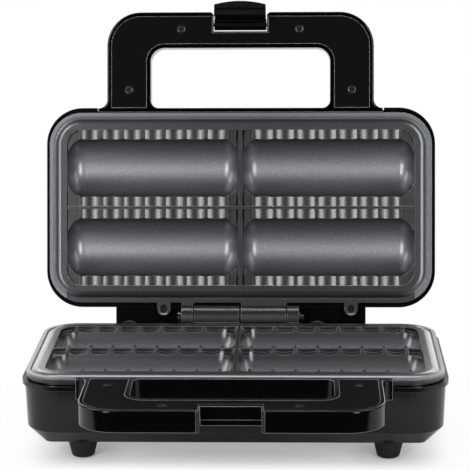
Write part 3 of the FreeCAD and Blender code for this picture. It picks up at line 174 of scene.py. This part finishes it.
def plateLightAndShade(tree, space, plateName, facing, rising):
    # painted light and shade: dark crests and strips, wells painted lighter towards their bottoms, a dark
    # border and a painted highlight on its outer slope
    look = coatingLook
    # both sealing crests meet in the plane of the hinge's axis
    level = Vector(facing).dot(Vector(joints["lid_hinge"]["pos_m"]))
    height = addNode(tree, "ShaderNodeVectorMath", {1: facing}, {0: space}, operation="DOT_PRODUCT")
    # painted shade near the crest, painted highlight towards the bottoms of the wells
    well = addNode(tree, "ShaderNodeMapRange", {
        "From Min": level - look["wellEnd"] / 1000,
        "From Max": level - look["wellStart"] / 1000,
        "To Min": 1.0,
        "To Max": look["crest"],
    }, {"Value": height.outputs["Value"]})
    # painted highlight on the border's outer slope, between these depths below the crest
    slopeTop = addNode(tree, "ShaderNodeMapRange", {
        "From Min": level - look["slopeHighlightTop"] / 1000,
        "From Max": level - (look["slopeHighlightTop"] + look["slopeHighlightFade"]) / 1000,
    }, {"Value": height.outputs["Value"]})
    slopeFoot = addNode(tree, "ShaderNodeMapRange", {
        "From Min": level - look["slopeHighlightFoot"] / 1000,
        "From Max": level - (look["slopeHighlightFoot"] - look["slopeHighlightFade"]) / 1000,
        "To Max": look["slopeHighlight"] - look["border"],
    }, {"Value": height.outputs["Value"]})
    border = addNode(tree, "ShaderNodeMath", {2: look["border"]}, {
        0: slopeTop.outputs["Result"],
        1: slopeFoot.outputs["Result"],
    }, operation="MULTIPLY_ADD")
    outside = addNode(tree, "ShaderNodeMath", links={
        0: outsideField(tree, space, plateName, sideways),
        1: outsideField(tree, space, plateName, rising),
    }, operation="MAXIMUM")
    lifted = addNode(tree, "ShaderNodeMath", links={
        0: border.outputs["Value"],
        1: outside.outputs["Value"],
    }, operation="MULTIPLY")
    tone = addNode(tree, "ShaderNodeMath", links={
        0: well.outputs["Result"],
        1: lifted.outputs["Value"],
    }, operation="MAXIMUM")
    return tone.outputs["Value"]


def makeCoating(name, plateName, facing, rising):
    # sprayed non-stick coat on cast aluminium: dull metallic flake under a satin clear coat
    look = coatingLook
    material, tree, shader = newMaterial(name, {
        "Metallic": look["metallic"],
        "Coat Weight": 1.0,
        "Coat Roughness": look["coatRoughness"],
        "Coat IOR": look["coatIor"],
    })
    space = addNode(tree, "ShaderNodeTexCoord").outputs["Object"]
    cells = addNode(tree, "ShaderNodeTexVoronoi", {
        "Scale": 1000 / look["flakeSize"],
    }, {"Vector": space})
    shade = addNode(tree, "ShaderNodeSeparateColor", links={"Color": cells.outputs["Color"]})
    flake = addNode(tree, "ShaderNodeMapRange", {
        "From Min": 1 - look["flakeShare"],
        "From Max": 1.0,
    }, {"Value": shade.outputs["Red"]})
    colour = addNode(tree, "ShaderNodeMix", {
        6: linearColour(look["base"]),
        7: linearColour(look["flake"]),
    }, {0: flake.outputs["Result"]}, data_type="RGBA")
    # the plate's painted light and shade scale its colour
    toned = addNode(tree, "ShaderNodeVectorMath", links={
        0: colour.outputs[2],
        "Scale": plateLightAndShade(tree, space, plateName, facing, rising),
    }, operation="SCALE")
    edge = addNode(tree, "ShaderNodeBevel", {
        "Radius": look["edge"] / 1000,
    }, samples=cornerLook["samples"])
    # painted highlight: lighter colour along the rounded corners
    edgeHighlight = addNode(tree, "ShaderNodeMix", {7: linearColour(look["edgeHighlight"])}, {
        0: edgeHighlightShare(tree, edge),
        6: toned.outputs["Vector"],
    }, data_type="RGBA")
    tree.links.new(edgeHighlight.outputs[2], shader.inputs["Base Color"])
    rough = addNode(tree, "ShaderNodeMapRange", {
        "To Min": look["roughness"] - look["roughSpread"],
        "To Max": look["roughness"] + look["roughSpread"],
    }, {"Value": shade.outputs["Green"]})
    tree.links.new(rough.outputs["Result"], shader.inputs["Roughness"])
    tree.links.new(grainNormal(tree, space, edge, look), shader.inputs["Normal"])
    return material


polish = {
    "haze": 16.667,          # mm, the slow unevenness of a moulded face
    "spread": 0.15,          # share of the roughness
}


def makeMoulded(name, look):
    # moulded: even colour, corners painted lighter as a highlight, a faint unevenness in the polish
    material, tree, shader = newMaterial(name, {
        "IOR": look["ior"],
        "Specular IOR Level": look["gloss"],
    })
    space = addNode(tree, "ShaderNodeTexCoord").outputs["Object"]
    haze = addNode(tree, "ShaderNodeTexNoise", {
        "Scale": 1000 / polish["haze"],
        "Detail": 3.0,
    }, {"Vector": space})
    rough = addNode(tree, "ShaderNodeMapRange", {
        "To Min": look["roughness"] * (1 - polish["spread"]),
        "To Max": look["roughness"] * (1 + polish["spread"]),
    }, {"Value": haze.outputs["Fac"]})
    tree.links.new(rough.outputs["Result"], shader.inputs["Roughness"])
    edge = addNode(tree, "ShaderNodeBevel", {
        "Radius": look["edge"] / 1000,
    }, samples=cornerLook["samples"])
    colour = addNode(tree, "ShaderNodeMix", {
        6: linearColour(look["base"]),
        7: linearColour(look["edgeHighlight"]),
    }, {0: edgeHighlightShare(tree, edge)}, data_type="RGBA")
    tree.links.new(colour.outputs[2], shader.inputs["Base Color"])
    tree.links.new(grainNormal(tree, space, edge, look), shader.inputs["Normal"])
    return material


# edge and grain are in mm; the lighter corner colour is a painted highlight
mouldedLooks = {
    "glossHousing": {        # ABS from a polished mould: deep black with a clear reflection
        "base": "#050506", "edgeHighlight": "#3c3c3e", "ior": 1.4, "gloss": 0.45, "roughness": 0.15,
        "edge": 0.5, "grain": 1.5, "bump": 0.02,
    },
    "glossHandle": {         # the same, glossier, with bright painted highlights along the corners
        "base": "#020203", "edgeHighlight": "#c4c4c6", "ior": 1.4, "gloss": 0.4, "roughness": 0.1,
        "edge": 0.6, "grain": 1.5, "bump": 0.02,
    },
    "satinCover": {          # ABS from an etched mould: dull dark grey
        "base": "#101010", "edgeHighlight": "#4a4a4b", "ior": 1.4, "gloss": 0.02, "roughness": 0.25,
        "edge": 0.4, "grain": 0.3, "bump": 0.06,
    },
    "glossLatch": {          # nylon: black with a softer shine
        "base": "#060607", "edgeHighlight": "#3c3c3e", "ior": 1.45, "gloss": 0.5, "roughness": 0.2,
        "edge": 0.4, "grain": 1.5, "bump": 0.02,
    },
    "rubberFeet": {          # rubber: matt charcoal with a coarse grain
        "base": "#121213", "edgeHighlight": "#1c1c1d", "ior": 1.45, "gloss": 0.4, "roughness": 0.55,
        "edge": 0.4, "grain": 0.2, "bump": 0.3,
    },
    "innerPlastic": {        # heat-proof moulding: pale cream, dry and dull
        "base": "#cfc7b2", "edgeHighlight": "#dcd6c4", "ior": 1.5, "gloss": 0.5, "roughness": 0.6,
        "edge": 0.2, "grain": 0.4, "bump": 0.2,
    },
}

metalGrain = {
    "size": 0.66667,         # mm, unevenness left by drawing and rolling
    "spread": 0.08,          # in roughness
}
metalLooks = {
    "blackenedSteel": {"base": "#58585a", "metallic": 0.9, "roughness": 0.22},    # dark, shines at the edges
    "elementSheath": {"base": "#8d8a84", "metallic": 0.9, "roughness": 0.45},     # steel, dulled by heat
    "reflectorSheet": {"base": "#c9cacc", "metallic": 1.0, "roughness": 0.25},    # aluminised, bright
}


def makeMetal(name, look):
    # drawn or rolled metal with a fine uneven polish
    material, tree, shader = newMaterial(name, {
        "Base Color": linearColour(look["base"]),
        "Metallic": look["metallic"],
    })
    space = addNode(tree, "ShaderNodeTexCoord").outputs["Object"]
    grain = addNode(tree, "ShaderNodeTexNoise", {
        "Scale": 1000 / metalGrain["size"],
        "Detail": 3.0,
    }, {"Vector": space})
    rough = addNode(tree, "ShaderNodeMapRange", {
        "To Min": look["roughness"] - metalGrain["spread"],
        "To Max": look["roughness"] + metalGrain["spread"],
    }, {"Value": grain.outputs["Fac"]})
    tree.links.new(rough.outputs["Result"], shader.inputs["Roughness"])
    return material


lensLook = {"roughness": 0.12, "ior": 1.58, "clearness": 0.6}
lensTints = {"redLens": "#b3161b", "greenLens": "#1f8f3c", "lampGlass": "#e8e6e0"}


def makeLens(name, tint):
    # clear polycarbonate, tinted in the melt: it glows a little where light falls through
    material, _, _ = newMaterial(name, {
        "Base Color": linearColour(tint),
        "Roughness": lensLook["roughness"],
        "IOR": lensLook["ior"],
        "Transmission Weight": lensLook["clearness"],
    })
    return material


lowerCoating = makeCoating("lowerCoating", "lower_cooking_plate", upward, backward)
upperCoating = makeCoating("upperCoating", "upper_cooking_plate", lidFacing, lidRising)
moulded = {name: makeMoulded(name, look) for name, look in mouldedLooks.items()}
metals = {name: makeMetal(name, look) for name, look in metalLooks.items()}
lenses = {name: makeLens(name, tint) for name, tint in lensTints.items()}

paint(["lower_cooking_plate"], lowerCoating)
paint(["upper_cooking_plate"], upperCoating)
paint(["base_housing", "lid_housing"], moulded["glossHousing"])
paint(["lower_handle", "upper_handle"], moulded["glossHandle"])
paint(["lower_handle_cover", "upper_handle_cover"], moulded["satinCover"])
paint(["latch_clip"], moulded["glossLatch"])
paint([
    "front_left_foot", "front_right_foot", "rear_left_foot", "rear_right_foot", "cord_gland",
], moulded["rubberFeet"])
paint(["thermostat", "terminal_block"], moulded["innerPlastic"])
paint([
    "lower_cover_screws", "upper_cover_screws", "lower_plate_screws", "upper_plate_screws",
    "hinge_pin", "hinge_pin_clip", "latch_pin",
], metals["blackenedSteel"])
paint(["lower_heating_element", "upper_heating_element", "thermal_fuse"], metals["elementSheath"])
paint(["lower_heat_reflector", "upper_heat_reflector"], metals["reflectorSheet"])
paint(["power_lens"], lenses["redLens"])
paint(["ready_lens"], lenses["greenLens"])
paint(["power_lamp", "ready_lamp"], lenses["lampGlass"])

print("screws")

screwLook = {
    "crossLength": 0.62,     # shares of the head's radius
    "crossWidth": 0.15,
    "crossDepth": 0.55,
    "crossTaper": 0.55,
    "edge": 0.12,
    "headHeight": 0.62,
    "shank": 0.5,
    "sides": 40,
    "turns": (8, 51, 27, 70),    # degrees, as a screwdriver leaves them
    "reach": 8.0,            # mm, further apart than this are two screws
}


def screwPlaces(nodeName, axis):
    # where each screw of the group stands: the middle of its head, its radius and its length
    groups = []
    for vertex in nodes[nodeName].data.vertices:
        flat = vertex.co - axis * axis.dot(vertex.co)
        for group in groups:
            if (flat - group[0][0]).length < screwLook["reach"] / 1000:
                group.append((flat, axis.dot(vertex.co)))
                break
        else:
            groups.append([(flat, axis.dot(vertex.co))])
    places = []
    for group in groups:
        middle = Vector([
            (min(flat[k] for flat, _ in group) + max(flat[k] for flat, _ in group)) / 2 for k in range(3)
        ])
        top = max(height for _, height in group)
        length = top - min(height for _, height in group)
        radius = max((flat - middle).length for flat, _ in group)
        places.append((middle + axis * top, radius, length))
    return sorted(places, key=lambda place: tuple(round(c, 4) for c in place[0]))


def roundOutline(size):
    sides = screwLook["sides"]
    turns = [2 * math.pi * k / sides for k in range(sides)]
    return [(size * math.cos(turn), size * math.sin(turn)) for turn in turns]


def crossOutline(radius, share):
    # the twelve corners of a cross recess
    long = radius * screwLook["crossLength"] * share
    wide = radius * screwLook["crossWidth"] * share
    quarter = [Vector((long, -wide)), Vector((long, wide)), Vector((wide, wide))]
    corners = []
    for turn in range(4):
        corners += [Matrix.Rotation(math.radians(90 * turn), 2) @ corner for corner in quarter]
    return corners


def addScrew(bm, place, radius, length, axis, turn):

    def ring(outline, height):
        return [bm.verts.new((x, y, height)) for x, y in outline]

    def skin(upper, lower):
        count = len(upper)
        for k in range(count):
            bm.faces.new((upper[k], lower[k], lower[(k + 1) % count], upper[(k + 1) % count]))

    edge, head, shank = (radius * screwLook[name] for name in ("edge", "headHeight", "shank"))
    outer = [ring(roundOutline(radius - edge), 0.0)]
    for step in (30, 60, 90):
        # the head's rounded rim
        lean = math.radians(step)
        outer.append(ring(roundOutline(radius - edge + edge * math.sin(lean)), edge * (math.cos(lean) - 1)))
    outer.append(ring(roundOutline(radius), -head))
    outer.append(ring(roundOutline(shank), -head))
    outer.append(ring(roundOutline(shank), -length))
    for upper, lower in zip(outer, outer[1:]):
        skin(upper, lower)
    bm.faces.new(reversed(outer[-1]))
    mouth = ring(crossOutline(radius, 1.0), 0.0)
    floor = ring(crossOutline(radius, screwLook["crossTaper"]), -radius * screwLook["crossDepth"])
    skin(floor, mouth)
    bm.faces.new(floor)
    # the flat of the head lies between its rim and the recess
    rims = []
    for loop in (outer[0], mouth):
        for start, end in zip(loop, loop[1:] + loop[:1]):
            rims.append(bm.edges.get((start, end)) or bm.edges.new((start, end)))
    bmesh.ops.triangle_fill(bm, use_beauty=True, use_dissolve=False, edges=rims)
    made = [vertex for loop in outer + [mouth, floor] for vertex in loop]
    stand = Matrix.Translation(place) @ axis.to_track_quat("Z", "Y").to_matrix().to_4x4()
    bmesh.ops.transform(bm, matrix=stand @ Matrix.Rotation(math.radians(turn), 4, "Z"), verts=made)


def makeScrews(name, nodeName, body, axis):
    # pan-head screws with a cross recess, in place of the plain group
    axis = Vector(axis)
    turns = screwLook["turns"]
    mesh = bpy.data.meshes.new(name)
    bm = bmesh.new()
    for count, (place, radius, length) in enumerate(screwPlaces(nodeName, axis)):
        addScrew(bm, place, radius, length, axis, turns[count % len(turns)])
    bmesh.ops.recalc_face_normals(bm, faces=bm.faces)
    bm.to_mesh(mesh)
    bm.free()
    piece = bpy.data.objects.new(name, mesh)
    bpy.context.scene.collection.objects.link(piece)
    mesh.materials.append(metals["blackenedSteel"])
    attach(piece, body)
    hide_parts(nodeName)


makeScrews("lowerCoverCrossScrews", "lower_cover_screws", "base", upward)
makeScrews("lowerPlateCrossScrews", "lower_plate_screws", "base", upward)
makeScrews("upperCoverCrossScrews", "upper_cover_screws", "lid", lidFacing)
makeScrews("upperPlateCrossScrews", "upper_plate_screws", "lid", lidFacing)

print("camera")

cameraPlace = {
    "lens": 150.43,          # mm
    "sensor": 36.0,          # mm
    "x": 0.0401,             # metres
    "beforePlate": 1.1963,   # in front of the lower plate's front edge
    "height": 0.4145,
    "pitchDown": 12.40,      # degrees
    "yawLeft": 1.854,
    "roll": -0.390,
}


def makeCamera():
    place = cameraPlace
    data = bpy.data.cameras.new("studioCamera")
    data.lens = place["lens"]
    data.sensor_width = place["sensor"]
    camera = bpy.data.objects.new("studioCamera", data)
    bpy.context.scene.collection.objects.link(camera)
    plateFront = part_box("lower_cooking_plate")[0].y
    turn = (
        Matrix.Rotation(math.radians(place["yawLeft"]), 4, "Z")
        @ Matrix.Rotation(math.radians(90 - place["pitchDown"]), 4, "X")
        @ Matrix.Rotation(math.radians(place["roll"]), 4, "Z")
    )
    spot = Vector((place["x"], plateFront - place["beforePlate"], place["height"]))
    camera.matrix_world = Matrix.Translation(spot) @ turn
    bpy.context.scene.camera = camera


makeCamera()

print("studio")

# lengths are in metres
studio = {
    "floorTone": "#f2f2f2",
    "tableTone": "#050505",
    "floorSize": 8.0,
    "floorDrop": 0.0005,     # below the feet, so that the two never share a plane
    "paperRoughness": 0.9,
    "paperFront": -0.22,     # the paper ends here, on a dark table
    "paperFade": 0.04,
    "glow": 0.9,             # share of plain white that the paper shows near the toaster
    "shadeReach": 0.02,      # and how far the toaster's contact shadow holds it back
    "shadeSamples": 12,
    "clearStart": 0.16,      # it turns to plain white between these distances
    "clearEnd": 0.27,
    "backdropStart": -0.1,   # the white backdrop fades in towards the back, as a sine
    "backdropFull": 0.3,
    "backdropTop": 0.35,     # and ends at this height of view
    "backdropFade": 0.1,
    "skyLevel": 0.1,         # soft light of the room behind the toaster
    "frontLevel": 0.015,     # behind the camera it is dim
    "levelReach": 0.6,       # between the two, as a sine
}


def seenDirectly(tree):
    # camera rays, and those that mirrors and glass send on
    path = addNode(tree, "ShaderNodeLightPath")
    either = addNode(tree, "ShaderNodeMath", links={
        0: path.outputs["Is Camera Ray"],
        1: path.outputs["Is Glossy Ray"],
    }, operation="MAXIMUM")
    seen = addNode(tree, "ShaderNodeMath", links={
        0: either.outputs["Value"],
        1: path.outputs["Is Transmission Ray"],
    }, operation="MAXIMUM")
    return seen.outputs["Value"]


def paperSweep():
    # matt paper that holds the shadow and runs out into the white background
    material, tree, shader = newMaterial("paperSweep", {"Roughness": studio["paperRoughness"]})
    output = [node for node in tree.nodes if node.type == "OUTPUT_MATERIAL"][0]
    space = addNode(tree, "ShaderNodeTexCoord").outputs["Object"]
    place = addNode(tree, "ShaderNodeSeparateXYZ", links={"Vector": space})
    paper = addNode(tree, "ShaderNodeMapRange", {
        "From Min": studio["paperFront"],
        "From Max": studio["paperFront"] + studio["paperFade"],
    }, {"Value": place.outputs["Y"]}, interpolation_type="SMOOTHSTEP")
    tone = addNode(tree, "ShaderNodeMix", {
        6: linearColour(studio["tableTone"]),
        7: linearColour(studio["floorTone"]),
    }, {0: paper.outputs["Result"]}, data_type="RGBA")
    tree.links.new(tone.outputs[2], shader.inputs["Base Color"])
    flat = addNode(tree, "ShaderNodeVectorMath", {1: (1.0, 1.0, 0.0)}, {0: space}, operation="MULTIPLY")
    away = addNode(tree, "ShaderNodeVectorMath", links={0: flat.outputs["Vector"]}, operation="LENGTH")
    clear = addNode(tree, "ShaderNodeMapRange", {
        "From Min": studio["clearStart"],
        "From Max": studio["clearEnd"],
        "To Min": studio["glow"],
    }, {"Value": away.outputs["Value"]}, interpolation_type="SMOOTHSTEP")
    # mirrors show the white paper behind the toaster too, but nothing of what lies in front
    mirrored = addNode(tree, "ShaderNodeMath", links={
        0: seenDirectly(tree),
        1: paper.outputs["Result"],
    }, operation="MULTIPLY")
    behind = addNode(tree, "ShaderNodeMath", {1: 0.0}, {
        0: place.outputs["Y"],
    }, operation="GREATER_THAN")
    glossy = addNode(tree, "ShaderNodeMath", links={
        0: mirrored.outputs["Value"],
        1: behind.outputs["Value"],
    }, operation="MULTIPLY")
    path = addNode(tree, "ShaderNodeLightPath")
    seen = addNode(tree, "ShaderNodeMath", links={
        0: path.outputs["Is Camera Ray"],
        1: glossy.outputs["Value"],
    }, operation="MAXIMUM")
    contact = addNode(tree, "ShaderNodeAmbientOcclusion", {
        "Distance": studio["shadeReach"],
    }, samples=studio["shadeSamples"])
    lit = addNode(tree, "ShaderNodeMath", links={
        0: clear.outputs["Result"],
        1: contact.outputs["AO"],
    }, operation="MULTIPLY")
    share = addNode(tree, "ShaderNodeMath", links={
        0: lit.outputs["Value"],
        1: seen.outputs["Value"],
    }, operation="MULTIPLY")
    white = addNode(tree, "ShaderNodeEmission", {"Color": (1, 1, 1, 1), "Strength": 1.0})
    mixed = addNode(tree, "ShaderNodeMixShader", links={
        0: share.outputs["Value"],
        1: shader.outputs["BSDF"],
        2: white.outputs["Emission"],
    })
    tree.links.new(mixed.outputs[0], output.inputs["Surface"])
    return material


def makeFloor():
    half = studio["floorSize"] / 2
    mesh = bpy.data.meshes.new("studioFloor")
    corners = [(-half, -half, 0), (half, -half, 0), (half, half, 0), (-half, half, 0)]
    mesh.from_pydata(corners, [], [(0, 1, 2, 3)])
    mesh.materials.append(paperSweep())
    floor = bpy.data.objects.new("studioFloor", mesh)
    bpy.context.scene.collection.objects.link(floor)
    floor.location.z = -studio["floorDrop"]


def makeWorld():
    world = bpy.data.worlds.new("studioWorld")
    bpy.context.scene.world = world
    world.use_nodes = True
    tree = world.node_tree
    tree.nodes.clear()
    direction = addNode(tree, "ShaderNodeTexCoord").outputs["Generated"]
    split = addNode(tree, "ShaderNodeSeparateXYZ", links={"Vector": direction})
    level = addNode(tree, "ShaderNodeMapRange", {
        "From Min": -studio["levelReach"],
        "From Max": studio["levelReach"],
        "To Min": studio["frontLevel"],
        "To Max": studio["skyLevel"],
    }, {"Value": split.outputs["Y"]})
    light = addNode(tree, "ShaderNodeBackground", {"Color": (1, 1, 1, 1)}, {
        "Strength": level.outputs["Result"],
    })
    white = addNode(tree, "ShaderNodeBackground", {"Color": (1, 1, 1, 1), "Strength": 1.0})
    # the white backdrop stands behind the toaster; mirrors show it there
    behind = addNode(tree, "ShaderNodeMapRange", {
        "From Min": studio["backdropStart"],
        "From Max": studio["backdropFull"],
    }, {"Value": split.outputs["Y"]})
    below = addNode(tree, "ShaderNodeMapRange", {
        "From Min": studio["backdropTop"] - studio["backdropFade"],
        "From Max": studio["backdropTop"],
        "To Min": 1.0,
        "To Max": 0.0,
    }, {"Value": split.outputs["Z"]})
    backdrop = addNode(tree, "ShaderNodeMath", links={
        0: behind.outputs["Result"],
        1: below.outputs["Result"],
    }, operation="MULTIPLY")
    mirrored = addNode(tree, "ShaderNodeMath", links={
        0: seenDirectly(tree),
        1: backdrop.outputs["Value"],
    }, operation="MULTIPLY")
    path = addNode(tree, "ShaderNodeLightPath")
    seen = addNode(tree, "ShaderNodeMath", links={
        0: path.outputs["Is Camera Ray"],
        1: mirrored.outputs["Value"],
    }, operation="MAXIMUM")
    mixed = addNode(tree, "ShaderNodeMixShader", links={
        0: seen.outputs["Value"],
        1: light.outputs["Background"],
        2: white.outputs["Background"],
    })
    addNode(tree, "ShaderNodeOutputWorld", links={"Surface": mixed.outputs[0]})


# metres and watts
softboxes = {
    "overhead": {"place": (0.0, 0.30, 1.25), "aim": (0.0, 0.1, 0.2), "size": (1.3, 0.35), "power": 8},
    "backTop": {"place": (0.0, 1.25, 0.8), "aim": (0.0, 0.1, 0.2), "size": (1.5, 0.4), "power": 9},
    "leftStrip": {"place": (-0.86, -1.60, 0.62), "aim": (0.0, 0.0, 0.2), "size": (0.46, 1.5), "power": 22},
    "rightStrip": {"place": (0.90, -1.60, 0.62), "aim": (0.0, 0.0, 0.2), "size": (0.46, 1.5), "power": 21},
    "leftSide": {"place": (-1.15, -0.1, 0.95), "aim": (0.0, 0.0, 0.1), "size": (0.5, 0.9), "power": 8},
    "rightSide": {"place": (1.15, -0.1, 0.95), "aim": (0.0, 0.0, 0.1), "size": (0.5, 0.9), "power": 5},
    "backLeft": {"place": (-0.68, 1.3, 0.32), "aim": (0.0, 0.0, 0.1), "size": (0.5, 0.5), "power": 0.9},
    "backRight": {"place": (0.62, 1.3, 0.32), "aim": (0.0, 0.0, 0.1), "size": (0.5, 0.5), "power": 0.9},
}


def makeSoftbox(name, box):
    data = bpy.data.lights.new(name, "AREA")
    data.shape = "RECTANGLE"
    data.size, data.size_y = box["size"]
    data.energy = box["power"]
    lamp = bpy.data.objects.new(name, data)
    bpy.context.scene.collection.objects.link(lamp)
    lamp.location = box["place"]
    ray = Vector(box["aim"]) - Vector(box["place"])
    lamp.rotation_euler = ray.to_track_quat("-Z", "Y").to_euler()


makeFloor()
makeWorld()
for boxName, box in softboxes.items():
    makeSoftbox(boxName, box)
bpy.context.scene.view_settings.view_transform = "Standard"
